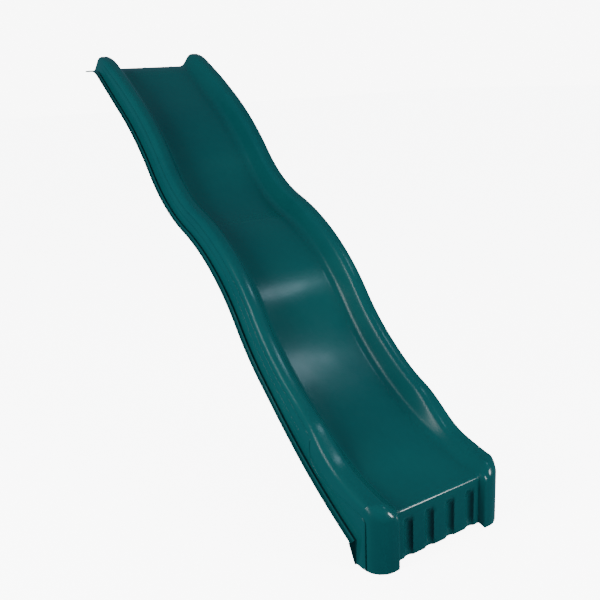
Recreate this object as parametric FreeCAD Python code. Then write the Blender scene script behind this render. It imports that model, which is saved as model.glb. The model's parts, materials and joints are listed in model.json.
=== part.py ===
import FreeCAD, Part
import math
import os

V = FreeCAD.Vector

# Wave slide: one vacuum-formed polyethylene moulding, screwed down on the edge of a play deck.
# X across (symmetry plane x = 0), Y from the exit front back to the deck, Z up.
# It is modelled with the exit front at y = 0 and the ground at z = 0. The finished pieces are moved
# so that the origin is in the middle of the upper lip's underside, where it lies on the deck.

# ---- driving dimensions, millimetres and degrees ----
DECK_HEIGHT = 1219.0          # ground to the deck board that carries the top lip (4 ft)
SHEET = 4.5                   # thickness of the formed sheet

EXIT_LIP_HEIGHT = 150.0       # ground to the bed where it ends
EXIT_RECESS = 15.0            # front wall behind the column faces
EXIT_ANGLE = 7.5              # slope of the bed at the exit
# the bed is a chain of tangent arcs: relative length of each run and the slope where it ends
BED_RUNS = ((245.0, 22.5), (297.0, 40.5), (178.0, 53.5), (418.0, 18.5),
            (292.0, 50.0), (298.0, 32.5), (240.0, 33.5), (93.0, 0.0))

BED_HALF = 137.0              # middle to where the rail rises from the bed
RAIL_FACE_RUN = 27.0          # across, from there to the inner edge of the rail top
CREST_WIDTH = 38.0            # across the rail top
OUTER_WALL_RUN = 16.0         # across, from the rail top to the foot of the outer wall
CREST_FLARE = 11.0            # how much further out the rail top reaches at the exit
CREST_FLARE_START = 400.0     # Y at which it begins to widen
CREST_FLARE_RUN = 160.0
EXIT_WALL_PULL = 2.0          # how much nearer the middle the outer wall stands at the exit
FLANGE_WIDTH = 19.0           # outer wall to the flange edge

RAIL_HEIGHT = 62.0            # rail top above the bed
RAIL_HEIGHT_EXIT = 26.0       # the same at the exit
RAIL_HEIGHT_TOP = 46.0        # the same at the deck
RAIL_RISE_START = 130.0       # along the bed, where the rails begin to grow
RAIL_RISE_END = 330.0         # where they reach full height
RAIL_TOP_TAPER = 260.0        # length of the easing down to the deck end

PANEL_DROP = 17.0             # rail top down to the raised side panel
PANEL_STEP = 2.0              # how far the panel stands out
FLANGE_DROP = 3.0             # flange below the bed skin, on the main run
SKIRT_DEPTH = 90.0            # extra depth of the skirt where it reaches the foot
SKIRT_RUN = 400.0             # Y distance over which the skirt deepens
SKIRT_POWER = 1.6

CREST_ROUND_INNER = 16.0
CREST_ROUND_OUTER = 13.0
BED_ROUND = 22.0

COLUMN_ROUND = 38.0           # rounding from the rail top into a column's front, in the side view
COLUMN_CORNER = 52.0          # rounding of a column's upright outer edge, in plan
COLUMN_MARGIN = 6.0           # inner front edge of a column outside the edge of the bed
COLUMN_SPLAY = 4.0            # how far its inner side leans toward the middle over the recess
LIP_ROUND = 7.0               # rounded front edge of the bed
FRONT_WALL_GAP = 12.0         # ground to the lower edge of the front wall
FOOT_LENGTH = 75.0            # length of the foot along Y
FOOT_TAB = 4.0                # width of the turned edge at the ground, down the back of the foot

FLUTE_COUNT = 4
FLUTE_PITCH = 69.0
FLUTE_RADIUS = 13.0
FLUTE_DEPTH = 7.0
FLUTE_TOP = 34.0              # lip down to the upper end of a flute

TOP_LIP = 62.0                # flat lip that lies on the deck
TOP_LIP_CORNER = 22.0
END_ROUND = 30.0              # rounded upper end of the rails
ROUND_LEAD = 1.2              # how far a rounding starts outside the surface it rounds

SCREW_PITCH = 110.0
SCREW_COUNT = 3
SCREW_EDGE = 20.0             # screw row in front of the lip's edge
SCREW_SHANK = 4.8             # diameter
SCREW_LENGTH = 32.0
SCREW_HEAD = 9.5
SCREW_HEAD_HEIGHT = 3.2
SCREW_RECESS = 3.0            # driver recess, across
SCREW_RECESS_DEPTH = 1.8
SCREW_POINT = 6.0
SCREW_HOLE_GAP = 0.4          # between the shank and the hole in the lip, all round
WASHER_DIAMETER = 17.0
WASHER_THICKNESS = 1.5
WASHER_HOLE_GAP = 0.25        # between the shank and the washer's hole, all round

STATION_STEP = 58.0           # spacing of the lofted sections
TRIM_MARGIN = 16.0            # how far the walls run past the trim line before trimming
WIDE = 450.0                  # half-width of the cutters, past every side of the slide
EPS = 0.01

CREST_INNER = BED_HALF + RAIL_FACE_RUN
CREST_OUTER = CREST_INNER + CREST_WIDTH
WALL_FOOT = CREST_OUTER + OUTER_WALL_RUN
FLANGE_HALF = WALL_FOOT + FLANGE_WIDTH
COLUMN_INNER = BED_HALF + COLUMN_MARGIN
SCREW_HOLE = SCREW_SHANK / 2 + SCREW_HOLE_GAP
WASHER_HOLE = SCREW_SHANK / 2 + WASHER_HOLE_GAP


# ---- the bed line, seen from the side ----
def bed_rise(scale):
    """Height gained by the chain of arcs when every run is multiplied by scale."""
    angle, rise = math.radians(EXIT_ANGLE), 0.0
    for length, end in BED_RUNS:
        turn = math.radians(end) - angle
        rise += scale * length * (math.cos(angle) - math.cos(angle + turn)) / turn
        angle += turn
    return rise


BED_TOP = DECK_HEIGHT + SHEET + FLANGE_DROP
BED_SCALE = (BED_TOP - EXIT_LIP_HEIGHT) / bed_rise(1.0)
BED_LENGTH = BED_SCALE * sum(length for length, end in BED_RUNS)


def bed_point(s):
    """Y, Z and slope of the bed skin at distance s along it from the front wall."""
    angle, y, z = math.radians(EXIT_ANGLE), EXIT_RECESS, EXIT_LIP_HEIGHT
    if s <= 0:
        return y + s * math.cos(angle), z + s * math.sin(angle), angle
    for length, end in BED_RUNS:
        run = BED_SCALE * length
        turn = (math.radians(end) - angle) * min(1.0, s / run)
        part = min(run, s)
        radius = part / turn
        y += radius * (math.sin(angle + turn) - math.sin(angle))
        z += radius * (math.cos(angle) - math.cos(angle + turn))
        angle += turn
        s -= part
        if s <= 0:
            break
    return y + s, z, angle


RAIL_END_Y = bed_point(BED_LENGTH)[0]
TOP_Y = RAIL_END_Y + TOP_LIP
SCREW_Y = TOP_Y - SCREW_EDGE
ORIGIN = V(0, RAIL_END_Y + TOP_LIP / 2, DECK_HEIGHT)


def ease(value):
    """Smooth step from 0 to 1."""
    value = max(0.0, min(1.0, value))
    return value * value * (3.0 - 2.0 * value)


def rail_height(s):
    grown = RAIL_HEIGHT_EXIT + (RAIL_HEIGHT - RAIL_HEIGHT_EXIT) * ease(
        (s - RAIL_RISE_START) / (RAIL_RISE_END - RAIL_RISE_START))
    return grown + (RAIL_HEIGHT_TOP - RAIL_HEIGHT) * ease(1.0 - (BED_LENGTH - s) / RAIL_TOP_TAPER)


def skirt_drop(y):
    """Depth of the flange's upper face below the bed skin."""
    left = max(0.0, min(1.0, 1.0 - (y - FOOT_LENGTH) / SKIRT_RUN))
    return FLANGE_DROP + SKIRT_DEPTH * left ** SKIRT_POWER


def wall_foot(y):
    """Middle to the foot of the outer wall."""
    return WALL_FOOT - EXIT_WALL_PULL * ease(1.0 - (y - FOOT_LENGTH) / SKIRT_RUN)


def crest_outer(y):
    """Middle to the outer edge of the rail top."""
    return CREST_OUTER + CREST_FLARE * ease((CREST_FLARE_START - y) / CREST_FLARE_RUN)


def foot_wall(z):
    """Middle to the outer wall of the foot at height z."""
    rail = EXIT_LIP_HEIGHT + RAIL_HEIGHT_EXIT
    lean_out = (wall_foot(0) - PANEL_STEP - crest_outer(0)) / (RAIL_HEIGHT_EXIT + skirt_drop(0))
    return crest_outer(0) + PANEL_STEP + (rail - z) * lean_out


def station_lean(s):
    """Lean of a section plane: square to the bed, and upright at the exit front."""
    return bed_point(s)[2] * ease(s / RAIL_RISE_END)


def place(s, x, n):
    """Point at height n above the bed skin, in the section plane at s."""
    y, z, slope = bed_point(s)
    lean = station_lean(s)
    return V(x, y - n * math.sin(lean), z + n * math.cos(lean))


# ---- the cross-section ----
def corners(s):
    """Half of the outer section, from the outer wall's lower end to the bed: (x, n, radius)."""
    y = bed_point(s)[0]
    rail, drop, foot = rail_height(s), skirt_drop(y), wall_foot(y)
    crest = crest_outer(y)
    lean_out = (foot - PANEL_STEP - crest) / (rail + drop)
    above_ground = bed_point(s)[1] - drop
    end = drop + SHEET + TRIM_MARGIN + above_ground * ease(1.5 - y / (2 * FOOT_LENGTH))
    panel_x = crest + PANEL_DROP * lean_out
    return [(foot + (end - drop) * lean_out, -end, 0.0),
            (panel_x + PANEL_STEP, rail - PANEL_DROP - PANEL_STEP * lean_out, 0.0),
            (panel_x, rail - PANEL_DROP + PANEL_STEP, 0.0),
            (crest, rail, CREST_ROUND_OUTER),
            (CREST_INNER, rail, CREST_ROUND_INNER),
            (BED_HALF, 0.0, -BED_ROUND)]


def shift_in(points, gap):
    """Moves every side of the open outline inward by gap and gives the new corners."""
    moved = []
    sides = []
    for (xa, na, ra), (xb, nb, rb) in zip(points, points[1:]):
        size = math.hypot(xb - xa, nb - na)
        tx, tn = (xb - xa) / size, (nb - na) / size
        sides.append((xa + tn * gap, na - tx * gap, tx, tn))
    first, last = sides[0], sides[-1]
    moved.append((first[0], first[1], 0.0))
    for (one, two, corner) in zip(sides, sides[1:], points[1:]):
        cross = one[2] * two[3] - one[3] * two[2]
        t = ((two[0] - one[0]) * two[3] - (two[1] - one[1]) * two[2]) / cross
        radius = corner[2] - gap if corner[2] else 0.0
        moved.append((one[0] + t * one[2], one[1] + t * one[3], radius))
    end = points[-1]
    moved.append((last[0] + (end[0] - points[-2][0]), last[1] + (end[1] - points[-2][1]), 0.0))
    return moved


def section(s, gap):
    """Closed section wire of the block under the skin; gap sets it in by the sheet thickness."""
    left = [(-x, n, r) for x, n, r in corners(s)]
    right = [(x, n, r) for x, n, r in reversed(corners(s))]
    outline = left + right
    if gap:
        outline = shift_in(outline, gap)
        drop = 2 * TRIM_MARGIN
        (xa, na, ra), (xb, nb, rb) = outline[0], outline[1]
        slide = drop * (xa - xb) / (nb - na)
        outline[0] = (xa + slide, na - drop, 0.0)
        outline[-1] = (-xa - slide, na - drop, 0.0)
    edges = []
    here = None
    for (xp, nprev, rp), (x, n, r), (xq, nq, rq) in zip(
            [outline[-1]] + outline[:-1], outline, outline[1:] + [outline[0]]):
        if not r:
            start = stop = (x, n)
        else:
            lp, lq = math.hypot(xp - x, nprev - n), math.hypot(xq - x, nq - n)
            up, uq = ((xp - x) / lp, (nprev - n) / lp), ((xq - x) / lq, (nq - n) / lq)
            half = math.acos(max(-1.0, min(1.0, up[0] * uq[0] + up[1] * uq[1]))) / 2
            cut = abs(r) / math.tan(half)
            start = (x + up[0] * cut, n + up[1] * cut)
            stop = (x + uq[0] * cut, n + uq[1] * cut)
            reach = abs(r) / math.sin(half) - abs(r)
            bx, bn = up[0] + uq[0], up[1] + uq[1]
            size = math.hypot(bx, bn)
            middle = (x + bx / size * reach, n + bn / size * reach)
        if here is not None:
            edges.append(Part.makeLine(place(s, *here), place(s, *start)))
        else:
            first = start
        if r:
            edges.append(Part.Arc(place(s, *start), place(s, *middle), place(s, *stop)).toShape())
        here = stop
    edges.append(Part.makeLine(place(s, *here), place(s, *first)))
    return Part.Wire(edges)


def stations():
    """Distances along the bed at which the sections stand."""
    count = math.ceil(BED_LENGTH / STATION_STEP)
    step = BED_LENGTH / count
    front = [-EXIT_RECESS - 10.0, -EXIT_RECESS / 3]
    return front + [step * (i + 0.5) for i in range(count)] + [BED_LENGTH, BED_LENGTH + 12.0]


def block(gap):
    """Solid under the skin, from before the exit front to past the upper end."""
    return Part.makeLoft([section(s, gap) for s in stations()], True, False)


# ---- cutters drawn in the side view and in plan ----
def side_prism(points, curves=()):
    """Solid across the whole width from (y, z) corners; curves maps a corner's index to an arc's middle."""
    edges = []
    for i, start in enumerate(points):
        end = points[(i + 1) % len(points)]
        a, b = V(-WIDE, *start), V(-WIDE, *end)
        if i in dict(curves):
            edges.append(Part.Arc(a, V(-WIDE, *dict(curves)[i]), b).toShape())
        else:
            edges.append(Part.makeLine(a, b))
    return Part.Face(Part.Wire(edges)).extrude(V(2 * WIDE, 0, 0))


def arc_points(centre, radius, angles):
    """(y, z) points on a circle at the given angles in degrees, measured from +Y toward +Z."""
    return [(centre[0] + radius * math.cos(math.radians(a)),
             centre[1] + radius * math.sin(math.radians(a))) for a in angles]


def ends_envelope(inset):
    """Space between the exit front and the upper end, with the rails rounded over at both."""
    slope = math.radians(EXIT_ANGLE)
    crest = EXIT_LIP_HEIGHT + RAIL_HEIGHT_EXIT + ROUND_LEAD
    crest += (COLUMN_ROUND - EXIT_RECESS) * math.tan(slope)
    front_centre = (COLUMN_ROUND, crest - COLUMN_ROUND / math.cos(slope))
    front = arc_points(front_centre, COLUMN_ROUND - inset, (180, 135 + EXIT_ANGLE / 2, 90 + EXIT_ANGLE))
    top = BED_TOP + RAIL_HEIGHT_TOP + ROUND_LEAD
    back = arc_points((RAIL_END_Y - END_ROUND, top - END_ROUND), END_ROUND - inset, (90, 45, 0))
    points = [(front[0][0], -WIDE), front[0], front[2], (front[2][0], 2 * BED_TOP),
              (back[0][0], 2 * BED_TOP), back[0], back[2], (back[2][0], -WIDE)]
    return side_prism(points, {1: front[1], 5: back[1]})


def column_corners(inset):
    """Cutters that round the two upright edges of the exit, following the lean of the outer walls."""
    radius = COLUMN_CORNER - inset
    cutters = []
    for side in (-1, 1):
        wires = []
        for z in (-TRIM_MARGIN - 4 * SHEET, 2 * (EXIT_LIP_HEIGHT + RAIL_HEIGHT_EXIT)):
            centre = foot_wall(z) + ROUND_LEAD - COLUMN_CORNER
            turn = [(centre + radius * math.cos(a), COLUMN_CORNER - radius * math.sin(a))
                    for a in (0, math.pi / 4, math.pi / 2)]
            far = [(turn[2][0], -COLUMN_CORNER), (centre + 3 * COLUMN_CORNER, -COLUMN_CORNER),
                   (centre + 3 * COLUMN_CORNER, COLUMN_CORNER)]
            turn, far = ([V(side * x, y, z) for x, y in points] for points in (turn, far))
            wires.append(Part.Wire([Part.Arc(*turn).toShape(), Part.makeLine(turn[2], far[0]),
                                    Part.makeLine(far[0], far[1]), Part.makeLine(far[1], far[2]),
                                    Part.makeLine(far[2], turn[0])]))
        cutters.append(Part.makeLoft(wires, True, True))
    return cutters


def trim_point(s, depth):
    """(y, z) of the flange's upper face at s, or depth below it."""
    point = place(s, 0, -skirt_drop(bed_point(s)[0]) - depth)
    return point.y, point.z


def trim_start(depth):
    """Distance along the bed where the flange line reaches the back of the foot."""
    low, high = 0.0, SKIRT_RUN
    while high - low > EPS / 10:
        middle = (low + high) / 2
        if trim_point(middle, depth)[0] < FOOT_LENGTH:
            low = middle
        else:
            high = middle
    return low


def trim_curve(depth):
    """Edge following the flange line from the foot to past the upper end."""
    first = trim_start(depth)
    marks = [first] + [s for s in stations() if s > first + STATION_STEP / 3] + [BED_LENGTH + TOP_LIP]
    curve = Part.BSplineCurve()
    curve.interpolate([V(-WIDE, *trim_point(s, depth)) for s in marks])
    return curve.toShape()


def below_trim():
    """Everything under the feet and under the flange line."""
    line = trim_curve(SHEET)
    start, end = line.Vertexes[0].Point, line.Vertexes[-1].Point
    outline = [end, V(-WIDE, end.y, -2 * WIDE), V(-WIDE, -WIDE, -2 * WIDE), V(-WIDE, -WIDE, 0),
               V(-WIDE, FOOT_LENGTH, 0), start]
    sides = [Part.makeLine(a, b) for a, b in zip(outline, outline[1:])]
    return Part.Face(Part.Wire([line] + sides)).extrude(V(2 * WIDE, 0, 0))


def recess(gap):
    """Space in front of the front wall and between the columns; gap grows it by the sheet."""
    slope = math.radians(EXIT_ANGLE)
    wall = EXIT_RECESS + gap
    if gap:
        side = side_prism([(-WIDE, -WIDE), (wall, -WIDE), (wall, WIDE), (-WIDE, WIDE)])
    else:
        top = EXIT_LIP_HEIGHT + ROUND_LEAD / 4 + LIP_ROUND * math.tan(slope)
        centre = (EXIT_RECESS + LIP_ROUND, top - LIP_ROUND / math.cos(slope))
        lip = arc_points(centre, LIP_ROUND, (180, 135 + EXIT_ANGLE / 2, 90 + EXIT_ANGLE))
        side = side_prism([(-WIDE, -WIDE), (wall, -WIDE), lip[0], lip[2], (lip[2][0], WIDE), (-WIDE, WIDE)],
                          {2: lip[1]})
    splay = COLUMN_SPLAY / EXIT_RECESS
    grown = gap * math.hypot(1.0, splay)
    plan = []
    for y in (-EXIT_RECESS, EXIT_RECESS + 2 * SHEET):
        half = COLUMN_INNER - y * splay + grown
        plan.append((half, y))
    (x0, y0), (x1, y1) = plan
    outline = [V(-x0, y0, -WIDE), V(x0, y0, -WIDE), V(x1, y1, -WIDE), V(-x1, y1, -WIDE), V(-x0, y0, -WIDE)]
    return side.common(Part.Face(Part.makePolygon(outline)).extrude(V(0, 0, 2 * WIDE)))


def flutes(gap):
    """The upright half-round grooves in the front wall; gap grows them by the sheet."""
    radius = FLUTE_RADIUS + gap
    y = EXIT_RECESS + FLUTE_DEPTH - FLUTE_RADIUS
    top = EXIT_LIP_HEIGHT - FLUTE_TOP
    tools = []
    for i in range(FLUTE_COUNT):
        x = (i - (FLUTE_COUNT - 1) / 2) * FLUTE_PITCH
        groove = Part.makeCylinder(radius, top + WIDE, V(x, y, -WIDE))
        tools.append(groove.fuse(Part.makeSphere(radius, V(x, y, top))))
    return tools


# ---- the moulding ----
def flange_sides():
    """The two turned-out flanges along the outer walls, trimmed in plan."""
    upper, lower = trim_curve(0.0), trim_curve(SHEET)
    ends = [Part.makeLine(upper.Vertexes[i].Point, lower.Vertexes[i].Point) for i in (0, -1)]
    band = Part.Face(Part.Wire([upper, ends[1], lower, ends[0]])).extrude(V(2 * WIDE, 0, 0))
    count = 14
    start = FOOT_LENGTH - SHEET
    marks = [start + i * (RAIL_END_Y - start) / count for i in range(count + 1)]
    shapes = []
    for side in (-1, 1):
        inner = Part.BSplineCurve()
        inner.interpolate([V(side * (wall_foot(y) - SHEET / 2), y, -WIDE) for y in marks])
        curve = inner.toShape()
        first, last = (curve.Vertexes[i].Point for i in (0, -1))
        outer = [V(side * FLANGE_HALF, y, -WIDE) for y in (last.y, first.y)]
        sides = [Part.makeLine(a, b) for a, b in ((last, outer[0]), outer, (outer[1], first))]
        plan = Part.Face(Part.Wire([curve] + sides)).extrude(V(0, 0, 2 * BED_TOP))
        shapes.append(band.common(plan))
    return shapes


def foot_tabs():
    """The turned edges that run down the back of the two feet, from the flange to the ground."""
    top = trim_point(trim_start(SHEET), SHEET / 2)[1]
    y = FOOT_LENGTH - SHEET
    shapes = []
    for side in (-1, 1):
        outline = [V(side * (foot_wall(0) - SHEET / 2), y, 0), V(side * (foot_wall(0) + FOOT_TAB), y, 0),
                   V(side * FLANGE_HALF, y, top), V(side * (foot_wall(top) - SHEET / 2), y, top)]
        face = Part.Face(Part.makePolygon(outline + outline[:1]))
        shapes.append(face.extrude(V(0, SHEET, 0)))
    return shapes


def top_lip():
    """The flat lip that lies on the deck, with the screw holes."""
    plate = Part.makeBox(2 * FLANGE_HALF, TOP_LIP, SHEET, V(-FLANGE_HALF, RAIL_END_Y, DECK_HEIGHT))
    upright = [e for e in plate.Edges
               if abs(e.Vertexes[0].Z - e.Vertexes[1].Z) > SHEET / 2 and e.Vertexes[0].Y > RAIL_END_Y + EPS]
    plate = plate.makeFillet(TOP_LIP_CORNER, upright)
    for x in screw_places():
        plate = plate.cut(Part.makeCylinder(SCREW_HOLE, 3 * SHEET, V(x, SCREW_Y, DECK_HEIGHT - SHEET)))
    return plate


def solid_under_skin(gap):
    """The rounded and recessed block whose skin is the outer face (gap 0) or the inner face of the sheet."""
    shape = block(gap).common(ends_envelope(gap))
    for tool in column_corners(gap) + [recess(gap)] + flutes(gap):
        shape = shape.cut(tool)
    return shape


def slide_moulding():
    half = COLUMN_INNER - COLUMN_SPLAY
    under_wall = Part.makeBox(2 * half, FOOT_LENGTH / 2, 2 * FRONT_WALL_GAP, V(-half, 0, -FRONT_WALL_GAP))
    shell = solid_under_skin(0.0).cut(below_trim()).cut(solid_under_skin(SHEET)).cut(under_wall)
    return shell.multiFuse(flange_sides() + foot_tabs() + [top_lip()]).removeSplitter()


# ---- the hardware that holds the lip down ----
def screw_places():
    return [(i - (SCREW_COUNT - 1) / 2) * SCREW_PITCH for i in range(SCREW_COUNT)]


def washer(x):
    z = DECK_HEIGHT + SHEET
    disc = Part.makeCylinder(WASHER_DIAMETER / 2, WASHER_THICKNESS, V(x, SCREW_Y, z))
    return disc.cut(Part.makeCylinder(WASHER_HOLE, 3 * WASHER_THICKNESS, V(x, SCREW_Y, z - WASHER_THICKNESS)))


def screw(x):
    """Pan-head wood screw with a cross recess, its head seated on the washer."""
    z = DECK_HEIGHT + SHEET + WASHER_THICKNESS
    head = Part.makeCylinder(SCREW_HEAD / 2, SCREW_HEAD_HEIGHT, V(x, SCREW_Y, z))
    rim = [e for e in head.Edges if len(e.Vertexes) == 1 and e.Vertexes[0].Z > z + EPS]
    head = head.makeFillet(SCREW_HEAD_HEIGHT / 2, rim)
    for dx, dy in ((SCREW_HEAD / 2, SCREW_RECESS / 3), (SCREW_RECESS / 3, SCREW_HEAD / 2)):
        slot = Part.makeBox(dx, dy, 2 * SCREW_RECESS_DEPTH)
        slot.translate(V(x - dx / 2, SCREW_Y - dy / 2, z + SCREW_HEAD_HEIGHT - SCREW_RECESS_DEPTH))
        head = head.cut(slot)
    shank = Part.makeCylinder(SCREW_SHANK / 2, SCREW_LENGTH - SCREW_POINT, V(x, SCREW_Y, z), V(0, 0, -1))
    point = Part.makeCone(SCREW_SHANK / 2, SCREW_SHANK / 12, SCREW_POINT,
                          V(x, SCREW_Y, z - SCREW_LENGTH + SCREW_POINT), V(0, 0, -1))
    return head.fuse(shank).fuse(point).removeSplitter()


def build():
    nodes = {
        "slide_moulding": slide_moulding(),
        "deck_screws": Part.makeCompound([screw(x) for x in screw_places()]),
        "screw_washers": Part.makeCompound([washer(x) for x in screw_places()]),
    }
    os.makedirs("parts", exist_ok=True)
    for name, shape in nodes.items():
        shape.translate(-ORIGIN)
        shape.exportStep(os.path.join("parts", name + ".step"))


build()
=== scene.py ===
import json
import math

import bmesh
import bpy
from mathutils import Matrix, Vector

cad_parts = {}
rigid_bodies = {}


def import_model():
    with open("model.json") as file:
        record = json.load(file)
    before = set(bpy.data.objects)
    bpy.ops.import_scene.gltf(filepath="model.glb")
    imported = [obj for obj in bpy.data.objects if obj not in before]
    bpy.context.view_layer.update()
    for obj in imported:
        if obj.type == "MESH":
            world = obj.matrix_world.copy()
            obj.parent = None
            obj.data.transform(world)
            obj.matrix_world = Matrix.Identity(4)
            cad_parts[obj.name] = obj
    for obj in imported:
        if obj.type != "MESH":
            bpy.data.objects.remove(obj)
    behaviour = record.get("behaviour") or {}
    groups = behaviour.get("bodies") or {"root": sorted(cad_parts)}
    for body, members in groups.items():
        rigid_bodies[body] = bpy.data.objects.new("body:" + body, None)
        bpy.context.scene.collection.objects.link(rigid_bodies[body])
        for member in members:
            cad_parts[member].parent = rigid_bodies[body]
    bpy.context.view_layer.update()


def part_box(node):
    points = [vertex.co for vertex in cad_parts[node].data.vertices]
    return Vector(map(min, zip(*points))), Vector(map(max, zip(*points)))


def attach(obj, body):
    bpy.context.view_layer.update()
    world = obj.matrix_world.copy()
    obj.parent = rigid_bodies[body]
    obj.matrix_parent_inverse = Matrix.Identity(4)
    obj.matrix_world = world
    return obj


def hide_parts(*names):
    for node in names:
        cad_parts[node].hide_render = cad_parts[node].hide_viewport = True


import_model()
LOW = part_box("slide_moulding")[0]

# The moulding is drawn in millimetres with the exit front at y = 0 and the ground at z = 0,
# as in the CAD, then put where the CAD node stands.
MM = 0.001
DECK = 1219.0                   # top of the deck board
SHEET = 4.5
BED_TOP = DECK + SHEET + 3.0    # height the bed reaches at the deck end
EXIT_LIP = 150.0
RECESS = 15.0                   # front wall behind the column faces
EXIT_ANGLE = 7.5
# relative length of each arc of the bed, and the slope where it ends
BED_RUNS = ((245.0, 22.5), (297.0, 40.5), (178.0, 53.5), (418.0, 18.5),
            (292.0, 50.0), (298.0, 32.5), (240.0, 33.5), (93.0, 0.0))

# distances from the middle
BED_HALF = 137.0
CREST_IN = 164.0
CREST_OUT = 202.0
WALL_FOOT = 218.0
FLANGE_HALF = 237.0
CREST_FLARE = 11.0              # how much further out the rail top reaches at the exit
CREST_FLARE_START = 400.0
CREST_FLARE_RUN = 160.0
WALL_PULL = 2.0                 # how much nearer the middle the wall's foot is there

# rail tops above the bed
RAIL = 62.0
RAIL_EXIT = 26.0
RAIL_TOP = 46.0
RAIL_RISE_START = 130.0
RAIL_RISE_RUN = 200.0
RAIL_TAPER = 260.0
DOME = 26.0                     # length over which a rail rounds down at the deck

FLANGE_DROP = 3.0
SKIRT_DEPTH = 90.0
SKIRT_RUN = 400.0
SKIRT_POWER = 1.6

BED_ROUND = 26.0
CREST_ROUND_IN = 21.0
CREST_ROUND_OUT = 17.0
FILLET_STEPS = 6

COLUMN_ROUND = 38.0             # rail top into a column's front, in the side view
COLUMN_CORNER = 52.0            # a column's outer edge, in plan
COLUMN_FRONT = 0.2              # share of a column's points that lie on its flat front
LIP_ROUND = 7.0
RECESS_IN = 136.0
RECESS_OUT = 144.0
FOOT = 75.0                     # length of the foot along Y
FOOT_TAB = 4.0
FOOT_SPLIT = 62.0               # height at which the lowest rows of points begin
WALL_GAP = 12.0

FLUTES = (34.5, 103.5)
FLUTE_HALF = 14.0
FLUTE_DEPTH = 11.0
FLUTE_TOP = 128.0
FLUTE_FADE = 26.0               # height over which a flute dies out at its top
FLUTE_FOOT = 24.0               # and over which it grows from its lower end

TOP_LIP = 62.0
LIP_CORNER = 22.0

STEP = 12.0                     # between stations along the bed
FINE_STEP = 4.5                 # the same over the exit
FINE_RUN = 70.0
START_Y = 50.0                  # first station, behind the rounded front
TOP_ROWS = 14                   # rows of points over the front and down the wall
MID_ROWS = 12
LOW_ROWS = 8
LIP_ROWS = 12


def ease(value):
    value = max(0.0, min(1.0, value))
    return value * value * (3.0 - 2.0 * value)


def bed_rise():
    angle, rise = math.radians(EXIT_ANGLE), 0.0
    for length, end in BED_RUNS:
        turn = math.radians(end) - angle
        rise += length * (math.cos(angle) - math.cos(angle + turn)) / turn
        angle += turn
    return rise


SCALE = (BED_TOP - EXIT_LIP) / bed_rise()
LENGTH = SCALE * sum(run[0] for run in BED_RUNS)


def bed_point(s):
    """Y, Z and slope of the bed at distance s along it."""
    angle, y, z = math.radians(EXIT_ANGLE), RECESS, EXIT_LIP
    if s <= 0:
        return y + s * math.cos(angle), z + s * math.sin(angle), angle
    for length, end in BED_RUNS:
        run = SCALE * length
        turn = (math.radians(end) - angle) * min(1.0, s / run)
        part = min(run, s)
        y += part / turn * (math.sin(angle + turn) - math.sin(angle))
        z += part / turn * (math.cos(angle) - math.cos(angle + turn))
        angle += turn
        s -= part
        if s <= 0:
            break
    return y + s, z, angle


END_Y = bed_point(LENGTH)[0]


def rail_height(s):
    grown = RAIL_EXIT + (RAIL - RAIL_EXIT) * ease((s - RAIL_RISE_START) / RAIL_RISE_RUN)
    height = grown + (RAIL_TOP - RAIL) * ease(1.0 - (LENGTH - s) / RAIL_TAPER)
    over = max(0.0, min(1.0, (s - LENGTH + DOME) / DOME))
    return height * (1.0 - over ** 2.6) ** 0.42 - FLANGE_DROP * over ** 3


def skirt_drop(y):
    left = max(0.0, min(1.0, 1.0 - (y - FOOT) / SKIRT_RUN))
    return FLANGE_DROP + SKIRT_DEPTH * left ** SKIRT_POWER


def wall_foot(y):
    return WALL_FOOT - WALL_PULL * ease(1.0 - (y - FOOT) / SKIRT_RUN)


def crest_out(y):
    return CREST_OUT + CREST_FLARE * ease((CREST_FLARE_START - y) / CREST_FLARE_RUN)


def foot_lean():
    """How far the foot's outer wall leans out for each millimetre down."""
    return (wall_foot(0) - 2.0 - crest_out(0)) / (RAIL_EXIT + skirt_drop(0))


def lean(s):
    return bed_point(s)[2] * ease(s / 330.0)


def place(s, x, n):
    """The point n off the bed at distance s along it and x from the middle."""
    y, z = bed_point(s)[:2]
    a = lean(s)
    return Vector((x, y - n * math.sin(a), z + n * math.cos(a)))


def fillet(before, corner, after, radius, count):
    """count + 1 points of the arc that rounds a corner of the section."""
    p, c, q = Vector(before), Vector(corner), Vector(after)
    u, v = (p - c).normalized(), (q - c).normalized()
    half = math.acos(max(-1.0, min(1.0, u.dot(v)))) / 2
    cut = min(radius / math.tan(half), 0.46 * (p - c).length, 0.46 * (q - c).length)
    r = cut * math.tan(half)
    centre = c + (u + v).normalized() * (r / math.sin(half))
    start, stop = c + u * cut - centre, c + v * cut - centre
    sweep = start.angle(stop) if start.length > 1e-6 else 0.0
    side = 1.0 if start.x * stop.y - start.y * stop.x > 0 else -1.0
    points = []
    for i in range(count + 1):
        a = side * sweep * i / count
        points.append((centre.x + start.x * math.cos(a) - start.y * math.sin(a),
                       centre.y + start.x * math.sin(a) + start.y * math.cos(a)))
    return points


def bed_columns():
    """Distances from the middle at which the bed and the front wall have points."""
    near = {0.0}
    for centre in FLUTES:
        near.update(centre + side * d for side in (-1, 1) for d in (0, 3.5, 7, 9.5, 11.5, 13, 14.5))
    near.update((9.0, 56.0, 69.0, 82.0))
    return sorted(near)


BED_X = bed_columns()


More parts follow.
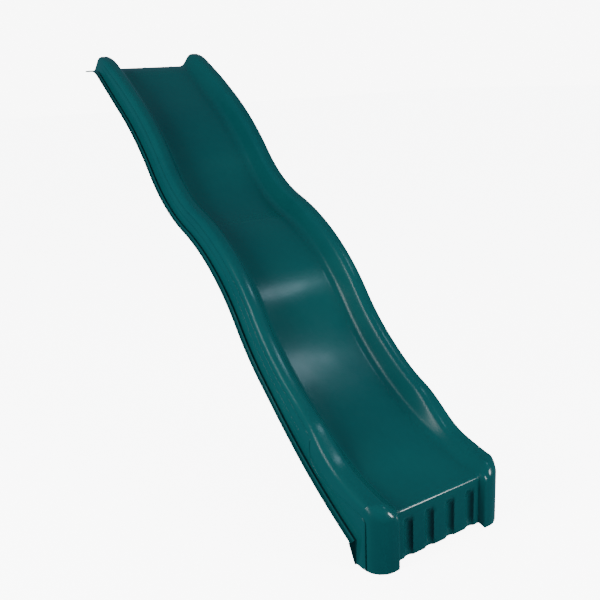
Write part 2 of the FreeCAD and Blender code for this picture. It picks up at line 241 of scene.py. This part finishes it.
def top_profile(s):
    """Half section from the middle of the bed to the top of the outer wall: (x, n)."""
    y = bed_point(s)[0]
    rail = rail_height(s)
    small = max(0.02, min(1.0, (rail + FLANGE_DROP) / 26.0))
    sink = -FLANGE_DROP * ease((s - LENGTH + 10.0) / 10.0)
    bed, inner, outer = (BED_HALF, sink), (CREST_IN, rail), (crest_out(y), rail)
    end = (wall_foot(y), -skirt_drop(y))
    a = fillet((0.0, sink), bed, inner, BED_ROUND * small, FILLET_STEPS)
    b = fillet(bed, inner, outer, CREST_ROUND_IN * small, FILLET_STEPS)
    c = fillet(inner, outer, end, CREST_ROUND_OUT * small, FILLET_STEPS)
    line = [(x, sink) for x in BED_X] + a
    for k in (1, 2, 3):
        line.append((a[-1][0] + (b[0][0] - a[-1][0]) * k / 4, a[-1][1] + (b[0][1] - a[-1][1]) * k / 4))
    line += b
    line.append(((b[-1][0] + c[0][0]) / 2, (b[-1][1] + c[0][1]) / 2))
    return line + c


COLS = len(top_profile(600.0))


def wall_levels(s):
    """Points of the outer wall under its top, down to the flange: (x, n)."""
    y = bed_point(s)[0]
    x0, n0 = top_profile(s)[-1]
    x1, n1 = wall_foot(y), -skirt_drop(y)
    rows = TOP_ROWS + MID_ROWS
    return [(x0 + (x1 - x0) * k / rows, n0 + (n1 - n0) * k / rows) for k in range(1, rows + 1)]


def flange_profile(s):
    """Bead, groove and turned-up edge of the flange, from the foot of the wall outward: (x, n)."""
    y = bed_point(s)[0]
    foot, low = wall_foot(y), -skirt_drop(y)
    wide = FLANGE_HALF - foot
    flat = 1.0 - ease((y - END_Y + 70.0) / 60.0)
    tip = 0.6 + 4.0 * ease((y - 900.0) / 600.0)
    shape = ((1.2, -0.6), (2.2, -1.6), (3.2, -1.0), (4.2, 2.2), (5.4, 4.2), (6.8, 5.0), (8.2, 4.4),
             (9.6, 2.8), (0.6 * wide, 2.0), (wide - 4, 2.0 + 0.5 * tip), (wide - 1.4, 2.0 + tip),
             (wide, 1.2 + tip))
    return [(foot + dx, low + dn * flat) for dx, dn in shape]


# ---- the surface, one half, as rows of vertices ----
def front_y(x):
    return RECESS * (1.0 - ease((x - RECESS_IN) / (RECESS_OUT - RECESS_IN)))


def flute_depth(x, z):
    across = min(abs(x - c) for c in FLUTES) / FLUTE_HALF
    if across >= 1.0:
        return 0.0
    foot = 0.45 + 0.55 * ease((z - WALL_GAP) / FLUTE_FOOT)
    section = math.sqrt(1.0 - across * across) ** 1.4
    return FLUTE_DEPTH * section * ease((FLUTE_TOP - z) / FLUTE_FADE) * foot


def arc_length(radius):
    """Length given to the rounding over the front when its points are shared out."""
    if radius < 12:
        return 4.0 * radius * math.pi / 2
    return radius * math.pi / 2 * (1 + 3 * max(0, 20 - radius) / 20)


def front_column(s0, x, n):
    """Points of one column from the first station over the front and down to its lower edge."""
    base = place(s0, x, n)
    flank_x = top_profile(s0)[-1][0]
    outward = max(0.0, (x - RECESS_OUT) / (flank_x - RECESS_OUT))
    turn = max(0.0, (outward - COLUMN_FRONT) / (1.0 - COLUMN_FRONT)) * math.pi / 2
    radius = LIP_ROUND + (COLUMN_ROUND - LIP_ROUND) * ease((x - 126.0) / 30.0)
    face = front_y(x)
    centre = flank_x - COLUMN_CORNER
    if outward > COLUMN_FRONT:
        front_x = centre + COLUMN_CORNER * math.sin(turn)
        front_at = START_Y * (1.0 - math.cos(turn))
    elif outward > 0:
        front_x = RECESS_OUT + (centre - RECESS_OUT) * outward / COLUMN_FRONT
        front_at = 0.0
    else:
        front_x, front_at = x, face

    flat = max(0.0, base.y - face - radius) * math.cos(turn)
    slope = math.tan(math.radians(EXIT_ANGLE))
    arc = arc_length(radius)
    start_y, top_z = base.y - flat, base.z - flat * slope
    crest = place(s0, 0, RAIL_EXIT).z
    low_z = crest - COLUMN_ROUND if radius > 36 else top_z - radius
    low_z = min(low_z, top_z - 0.5)
    points = []
    for k in range(1, TOP_ROWS + 1):
        along = (flat + arc) * k / TOP_ROWS
        if along <= flat:
            points.append(Vector((x, base.y - along, base.z - along * slope)))
        else:
            f = (along - flat) / arc * math.pi / 2
            points.append(Vector((x + (front_x - x) * math.sin(f),
                                  start_y + (front_at - start_y) * math.sin(f),
                                  low_z + (top_z - low_z) * math.cos(f))))

    floor_gap = WALL_GAP * (1.0 - ease((x - RECESS_IN) / 10.0))
    heights = [low_z + (FOOT_SPLIT - low_z) * k / MID_ROWS for k in range(1, MID_ROWS + 1)]
    heights += [FOOT_SPLIT + (floor_gap - FOOT_SPLIT) * k / LOW_ROWS for k in range(1, LOW_ROWS + 1)]
    for z in heights:
        inset = flute_depth(x, z) if x < RECESS_IN else 0.0
        splay = (low_z - z) * foot_lean() * min(1.0, outward)
        points.append(Vector((front_x + splay, front_at + inset, z)))
    return points


def stations():
    """Distances along the bed at which the section is drawn."""
    start = (START_Y - RECESS) / math.cos(math.radians(EXIT_ANGLE))
    marks = [start]
    while marks[-1] < LENGTH - DOME - STEP:
        marks.append(marks[-1] + (FINE_STEP if marks[-1] < FINE_RUN else STEP))
    dome = [LENGTH - DOME + DOME * math.sin(math.pi / 2 * k / 10) for k in range(0, 11)]
    return marks + dome


class Skin:
    """Collects the vertices and faces of the sheet's outer surface."""

    def __init__(self):
        self.bm = bmesh.new()

    def row(self, points, side):
        return [self.bm.verts.new((side * p.x, p.y, p.z)) for p in points]

    def join(self, a, b, side):
        for p, q, r, t in zip(a, a[1:], b[1:], b):
            quad = (p, q, r, t) if side > 0 else (p, t, r, q)
            if len(set(quad)) == 4:
                self.bm.faces.new(quad)


def half_rows():
    """Rows along the slide for one half: top, wall and flange points."""
    rows = []
    for s in stations():
        points = [place(s, x, n) for x, n in top_profile(s) + wall_levels(s)]
        y = bed_point(s)[0]
        rows.append((s, points, [place(s, x, n) for x, n in flange_profile(s)] if y > FOOT - 1 else None))
    return rows


def deck_rows(last):
    """Rows of the flat lip that rests on the deck, from the last row of the bed."""
    even, pitch = 3, 6.0
    near = even * pitch
    rows = []
    for k in range(1, LIP_ROWS + 1):
        part = math.sin(math.pi / 2 * (k - even) / (LIP_ROWS - even))
        out = pitch * k if k <= even else near + (TOP_LIP - near) * part
        left = max(0.0, out - TOP_LIP + LIP_CORNER)
        edge = FLANGE_HALF - LIP_CORNER + math.sqrt(max(0.0, LIP_CORNER ** 2 - left ** 2))
        points = []
        for p in last:
            x = p.x
            if x > CREST_IN:
                x = CREST_IN + (x - CREST_IN) * (edge - CREST_IN) / (FLANGE_HALF - CREST_IN)
            points.append(Vector((x, END_Y + out, DECK + SHEET)))
        rows.append(points)
    return rows


def add_front(skin, rows, grid, side):
    """Rounds the section over the front and down; gives the front edge of the outer wall."""
    s0 = rows[0][0]
    columns = [skin.row(front_column(s0, x, n), side) for x, n in top_profile(s0)]
    for k in range(TOP_ROWS + MID_ROWS):
        grid[0][COLS + k].co = columns[-1][k].co
    for k in range(TOP_ROWS + MID_ROWS + LOW_ROWS):
        above = grid[0][:COLS] if k == 0 else [c[k - 1] for c in columns]
        skin.join([c[k] for c in columns], above, side)
    return columns[-1]


def add_foot(skin, rows, grid, front, side):
    """The outer wall of the foot below the flange line, and the turned edge down its back."""
    wall_top = TOP_ROWS + MID_ROWS
    count = len([row for row in rows if bed_point(row[0])[0] < FOOT - 1])
    tops = [front[wall_top - 1]] + [g[-1] for g in grid[1:count + 1]]
    lower = [front[wall_top:]]
    for top in tops[1:]:
        at = top.co.copy()
        cells = []
        for k in range(1, LOW_ROWS + 1):
            z = at.z * (1 - k / LOW_ROWS)
            cells.append(Vector((abs(at.x) + (at.z - z) * foot_lean(), at.y, z)))
        lower.append(skin.row(cells, side))
    for (ta, a), (tb, b) in zip(zip(tops, lower), zip(tops[1:], lower[1:])):
        skin.join([ta] + a, [tb] + b, side)

    edge = [tops[-1]] + lower[-1]
    rest = FLANGE_HALF - abs(edge[0].co.x) - FOOT_TAB
    last = edge
    for part, back in ((0.08, 1.0), (0.3, 1.6), (0.65, 1.6), (1.0, 1.6)):
        cells = []
        for k, v in enumerate(edge):
            wide = FOOT_TAB + rest * (1.0 - k / LOW_ROWS)
            cells.append(Vector((abs(v.co.x) + wide * part, v.co.y + back, v.co.z)))
        new = skin.row(cells, side)
        skin.join(last, new, side)
        last = new


def add_lip(skin, last, side):
    """The flat lip on the deck, from the last row of bed and flange."""
    for points in deck_rows([Vector((abs(v.co.x), v.co.y, v.co.z)) for v in last]):
        new = skin.row(points, side)
        skin.join(last, new, side)
        last = new


def slide_skin():
    skin = Skin()
    rows = half_rows()
    for side in (1, -1):
        grid, flanges = [], []
        for _, points, flange in rows:
            grid.append(skin.row(points, side))
            flanges.append([grid[-1][-1]] + skin.row(flange, side) if flange else None)
        for a, b in zip(grid, grid[1:]):
            skin.join(a, b, side)
        for a, b in zip(flanges, flanges[1:]):
            if a and b:
                skin.join(a, b, side)
        front = add_front(skin, rows, grid, side)
        add_foot(skin, rows, grid, front, side)
        add_lip(skin, grid[-1] + flanges[-1][1:], side)
    bmesh.ops.remove_doubles(skin.bm, verts=skin.bm.verts, dist=0.02)
    bmesh.ops.recalc_face_normals(skin.bm, faces=skin.bm.faces)
    return skin.bm


def wall_point(y_target, z_target):
    """Point on the outer wall at a given y and height."""
    s = max(0.0, (y_target - RECESS))
    best = None
    for _ in range(60):
        here = bed_point(s)[0]
        if abs(here - y_target) < 0.05:
            break
        s += (y_target - here)
    levels = [top_profile(s)[-1]] + wall_levels(s)
    pts = [place(s, x, n) for x, n in levels]
    for a, b in zip(pts, pts[1:]):
        if b.z <= z_target <= a.z:
            f = (a.z - z_target) / max(1e-6, a.z - b.z)
            best = a.lerp(b, f)
    if best is None:
        b = pts[-1]
        best = pts[0]
        if z_target < b.z:
            best = Vector((b.x + (b.z - z_target) * foot_lean(), b.y, z_target))
    return best


def bead(bm, path, width, height, side, out=Vector((1, 0, 0.12))):
    """A low rounded ridge laid along a path on the outer wall."""
    rings = []
    for i, p in enumerate(path):
        ahead = (path[min(i + 1, len(path) - 1)] - path[max(i - 1, 0)]).normalized()
        up = ahead.cross(out).normalized()
        ends = 0.15 if i in (0, len(path) - 1) else 1.0
        ring = []
        for k in range(7):
            a = math.pi * k / 6
            q = p + up * (math.cos(a) * width / 2) + out * (math.sin(a) * height * ends - 0.25)
            ring.append(bm.verts.new((side * q.x, q.y, q.z)))
        rings.append(ring)
    for a, b in zip(rings, rings[1:]):
        for j in range(6):
            quad = (a[j], a[j + 1], b[j + 1], b[j])
            bm.faces.new(quad if side > 0 else quad[::-1])


def smooth_path(points, count):
    """Catmull-Rom curve through (y, z) points."""
    out = []
    for i in range(len(points) - 1):
        p0 = points[max(0, i - 1)]
        p1, p2 = points[i], points[i + 1]
        p3 = points[min(len(points) - 1, i + 2)]
        for k in range(count):
            t = k / count
            out.append(tuple(0.5 * (2 * b + (c - a) * t + (2 * a - 5 * b + 4 * c - d) * t * t
                                    + (3 * b - a - 3 * c + d) * t ** 3)
                             for a, b, c, d in zip(p0, p1, p2, p3)))
    return out + [points[-1]]


def wall_beads(bm):
    """The moulded lines under the rail top and the loop they make above the foot."""
    run, middle_run = [], []
    for s in stations():
        y = bed_point(s)[0]
        if y < 292.0 or s > LENGTH - DOME - 30.0:
            continue
        x0, n0 = top_profile(s)[-1]
        x1, n1 = wall_foot(y), -skirt_drop(y)
        f = 7.0 / max(8.0, n0 - n1)
        run.append(place(s, x0 + (x1 - x0) * f, n0 + (n1 - n0) * f))
        if y > 330.0:
            middle_run.append(place(s, x0 + (x1 - x0) * 0.52, n0 + (n1 - n0) * 0.52))
    loop = smooth_path([(292.0, 262.0), (278.0, 226.0), (262.0, 202.0), (236.0, 180.0), (204.0, 165.0),
                        (162.0, 157.5), (110.0, 151.5), (60.0, 145.0), (46.0, 136.0), (44.0, 118.0)], 6)
    loop = [wall_point(y, z) for y, z in loop]
    down = [wall_point(44.0, z) for z in (112, 96, 80, 64, 48, 32, 16, 2)]
    for side in (1, -1):
        bead(bm, run, 4.2, 2.2, side)
        bead(bm, middle_run, 3.4, 1.6, side)
        bead(bm, loop + down, 4.0, 2.2, side)


def placed_object(name, bm):
    """An object from a mesh in millimetres, standing where the CAD node stands."""
    where = Matrix.Translation((0, LOW.y, LOW.z)) @ Matrix.Scale(MM, 4)
    bmesh.ops.transform(bm, verts=bm.verts, matrix=where)
    mesh = bpy.data.meshes.new(name)
    bm.to_mesh(mesh)
    bm.free()
    obj = bpy.data.objects.new(name, mesh)
    bpy.context.collection.objects.link(obj)
    return obj


def thick_object(name, bm, material):
    """Turns the outer surface into a sheet of the moulding's thickness."""
    obj = placed_object(name, bm)
    thick = obj.modifiers.new("sheet", "SOLIDIFY")
    thick.thickness = SHEET * MM
    thick.offset = -1.0
    deps = bpy.context.evaluated_depsgraph_get()
    solid = bpy.data.meshes.new_from_object(obj.evaluated_get(deps))
    obj.modifiers.clear()
    obj.data = solid
    for polygon in solid.polygons:
        polygon.use_smooth = True
    solid.set_sharp_from_angle(angle=math.radians(50))
    obj.data.materials.clear()
    obj.data.materials.append(material)
    return obj


# ---- materials ----
def nodes_of(name):
    material = bpy.data.materials.new(name)
    material.use_nodes = True
    tree = material.node_tree
    tree.nodes.clear()
    out = tree.nodes.new("ShaderNodeOutputMaterial")
    shader = tree.nodes.new("ShaderNodeBsdfPrincipled")
    tree.links.new(shader.outputs[0], out.inputs[0])
    where = tree.nodes.new("ShaderNodeTexCoord")
    return material, tree, shader, where


def noise_node(tree, where, scale, detail, stretch=(1, 1, 1)):
    mapping = tree.nodes.new("ShaderNodeMapping")
    mapping.inputs["Scale"].default_value = stretch
    tree.links.new(where.outputs["Object"], mapping.inputs["Vector"])
    node = tree.nodes.new("ShaderNodeTexNoise")
    node.inputs["Scale"].default_value = scale
    node.inputs["Detail"].default_value = detail
    tree.links.new(mapping.outputs[0], node.inputs["Vector"])
    return node


def ramp(tree, source, stops):
    node = tree.nodes.new("ShaderNodeValToRGB")
    tree.links.new(source, node.inputs["Fac"])
    elements = node.color_ramp.elements
    while len(elements) < len(stops):
        elements.new(0.5)
    for element, (at, colour) in zip(elements, stops):
        element.position = at
        element.color = colour if len(colour) == 4 else (*colour, 1)
    return node


def moulded_plastic():
    material, tree, shader, where = nodes_of("moulded_plastic")
    broad = noise_node(tree, where, 2.2, 3.0)
    tint = ramp(tree, broad.outputs["Fac"], [(0.3, (0.0006, 0.052, 0.056)), (0.7, (0.0010, 0.068, 0.068))])
    # lighter streaks along the slide, mixed into the base colour at up to 7 per cent
    fine = noise_node(tree, where, 60.0, 6.0, (1, 0.35, 1))
    lighter_streaks = ramp(tree, fine.outputs["Fac"], [(0.35, (0, 0, 0)), (0.8, (1, 1, 1))])
    mix = tree.nodes.new("ShaderNodeMixRGB")
    mix.inputs["Color2"].default_value = (0.006, 0.105, 0.10, 1)
    amount = tree.nodes.new("ShaderNodeMath")
    amount.operation = "MULTIPLY"
    amount.inputs[1].default_value = 0.07
    tree.links.new(lighter_streaks.outputs[0], amount.inputs[0])
    tree.links.new(amount.outputs[0], mix.inputs["Fac"])
    tree.links.new(tint.outputs[0], mix.inputs["Color1"])
    tree.links.new(mix.outputs[0], shader.inputs["Base Color"])
    rough = noise_node(tree, where, 14.0, 5.0, (1, 0.5, 1))
    spread = ramp(tree, rough.outputs["Fac"], [(0.3, (0.19, 0.19, 0.19)), (0.72, (0.26, 0.26, 0.26))])
    tree.links.new(spread.outputs[0], shader.inputs["Roughness"])
    shader.inputs["IOR"].default_value = 1.52
    shader.inputs["Coat Weight"].default_value = 0.15
    shader.inputs["Coat Roughness"].default_value = 0.12
    grain = noise_node(tree, where, 420.0, 3.0)
    wave = noise_node(tree, where, 9.0, 2.0)
    total = tree.nodes.new("ShaderNodeMath")
    total.operation = "MULTIPLY_ADD"
    total.inputs[1].default_value = 0.008
    tree.links.new(grain.outputs["Fac"], total.inputs[0])
    tree.links.new(wave.outputs["Fac"], total.inputs[2])
    bump = tree.nodes.new("ShaderNodeBump")
    bump.inputs["Strength"].default_value = 0.10
    bump.inputs["Distance"].default_value = 0.004
    tree.links.new(total.outputs[0], bump.inputs["Height"])
    tree.links.new(bump.outputs[0], shader.inputs["Normal"])
    return material


def plated_steel(name, dark, light):
    material, tree, shader, where = nodes_of(name)
    patch = noise_node(tree, where, 220.0, 6.0)
    tint = ramp(tree, patch.outputs["Fac"], [(0.3, dark), (0.75, light)])
    tree.links.new(tint.outputs[0], shader.inputs["Base Color"])
    spread = ramp(tree, patch.outputs["Fac"], [(0.3, (0.42, 0.42, 0.42)), (0.7, (0.26, 0.26, 0.26))])
    tree.links.new(spread.outputs[0], shader.inputs["Roughness"])
    shader.inputs["Metallic"].default_value = 1.0
    grain = noise_node(tree, where, 900.0, 4.0, (1, 6, 1))
    bump = tree.nodes.new("ShaderNodeBump")
    bump.inputs["Strength"].default_value = 0.2
    bump.inputs["Distance"].default_value = 0.0004
    tree.links.new(grain.outputs["Fac"], bump.inputs["Height"])
    tree.links.new(bump.outputs[0], shader.inputs["Normal"])
    return material


def floor_material():
    material, tree, shader, where = nodes_of("studio_floor")
    broad = noise_node(tree, where, 0.6, 2.0)
    tint = ramp(tree, broad.outputs["Fac"], [(0.3, (0.86, 0.86, 0.86)), (0.7, (0.90, 0.90, 0.90))])
    tree.links.new(tint.outputs[0], shader.inputs["Base Color"])
    shader.inputs["Roughness"].default_value = 0.9
    shader.inputs["Emission Color"].default_value = (1, 1, 1, 1)
    shader.inputs["Emission Strength"].default_value = 8.0
    return material


# ---- the object ----
plastic = moulded_plastic()
surface = slide_skin()
slide = thick_object("slide", surface, plastic)
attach(slide, "root")
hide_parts("slide_moulding")

beads_bm = bmesh.new()
wall_beads(beads_bm)
beads = placed_object("moulded_lines", beads_bm)
for polygon in beads.data.polygons:
    polygon.use_smooth = True
beads.data.materials.append(plastic)
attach(beads, "root")

for obj in list(bpy.context.scene.objects):
    if obj.type == "MESH" and obj.name.startswith(("deck_screws", "screw_washers")):
        zinc = plated_steel(obj.name + "_zinc", (0.42, 0.42, 0.40), (0.66, 0.66, 0.63))
        obj.data.materials.clear()
        obj.data.materials.append(zinc)

# ---- studio ----
FLOOR_HALF = 30
corners = ((-1, -1), (1, -1), (1, 1), (-1, 1))
floor_mesh = bpy.data.meshes.new("floor")
floor_mesh.from_pydata([(FLOOR_HALF * x, FLOOR_HALF * y, LOW.z) for x, y in corners], [], [(0, 1, 2, 3)])
floor = bpy.data.objects.new("floor", floor_mesh)
floor_mesh.materials.append(floor_material())
bpy.context.collection.objects.link(floor)
floor.visible_glossy = False
floor.visible_diffuse = False

world = bpy.data.worlds.new("studio")
bpy.context.scene.world = world
world.use_nodes = True
tree = world.node_tree
room, backdrop = tree.nodes["Background"], tree.nodes.new("ShaderNodeBackground")
room.inputs["Color"].default_value = (0.42, 0.74, 1.0, 1)
room.inputs["Strength"].default_value = 0.20
backdrop.inputs["Color"].default_value = (1, 1, 1, 1)
backdrop.inputs["Strength"].default_value = 8.5
seen, path = tree.nodes.new("ShaderNodeMixShader"), tree.nodes.new("ShaderNodeLightPath")
tree.links.new(path.outputs["Is Camera Ray"], seen.inputs["Fac"])
tree.links.new(room.outputs[0], seen.inputs[1])
tree.links.new(backdrop.outputs[0], seen.inputs[2])
tree.links.new(seen.outputs[0], tree.nodes["World Output"].inputs["Surface"])


def softbox(name, at, aim, size, power, size_y=None):
    data = bpy.data.lights.new(name, "AREA")
    data.energy = power
    data.shape = "RECTANGLE"
    data.size = size
    data.size_y = size_y or size
    lamp = bpy.data.objects.new(name, data)
    lamp.location = at
    lamp.rotation_euler = (Vector(aim) - Vector(at)).to_track_quat("-Z", "Y").to_euler()
    bpy.context.collection.objects.link(lamp)
    return lamp


middle = Vector((0, LOW.y / 2, LOW.z / 2))
exit_lip = Vector((0, LOW.y, LOW.z + 0.15))
key = softbox("key", middle + Vector((-3.3, -0.7, 1.0)), middle, 1.2, 105, 2.4)
key.visible_glossy = False
softbox("strip", middle + Vector((-3.3, -0.7, 1.0)), middle, 0.4, 75, 2.4)
softbox("front", exit_lip + Vector((1.55, -2.4, 1.05)), exit_lip, 0.7, 75, 1.5)
rim = softbox("rim", middle + Vector((1.6, -1.3, 2.7)), middle, 0.4, 3, 0.4)
rim.data.color = (0.62, 0.85, 1.0)
fill = softbox("fill", exit_lip + Vector((2.2, -2.4, 0.5)), exit_lip, 1.6, 60, 1.6)
fill.visible_glossy = False
over = softbox("overhead", middle + Vector((0, 0, 3.6)), middle, 5.0, 42, 5.0)
over.visible_glossy = False

# ---- camera at the photograph's viewing angle ----
EYE = Vector((-1.1312, -1.1980, 1.1716)) + Vector((0, LOW.y, LOW.z))
RIGHT = Vector((0.8419, -0.5374, -0.0495)).normalized()
LOOK = Vector((0.5024, 0.8140, -0.2915)).normalized()
camera = bpy.data.objects.new("camera", bpy.data.cameras.new("camera"))
camera.data.sensor_width = 36.0
camera.data.lens = 36.0 * 740.0 / 600.0
camera.data.clip_end = 100.0
upward = RIGHT.cross(LOOK).normalized()
turn = Matrix((RIGHT, upward, -LOOK)).transposed()
camera.matrix_world = Matrix.Translation(EYE) @ turn.to_4x4()
bpy.context.collection.objects.link(camera)
bpy.context.scene.camera = camera
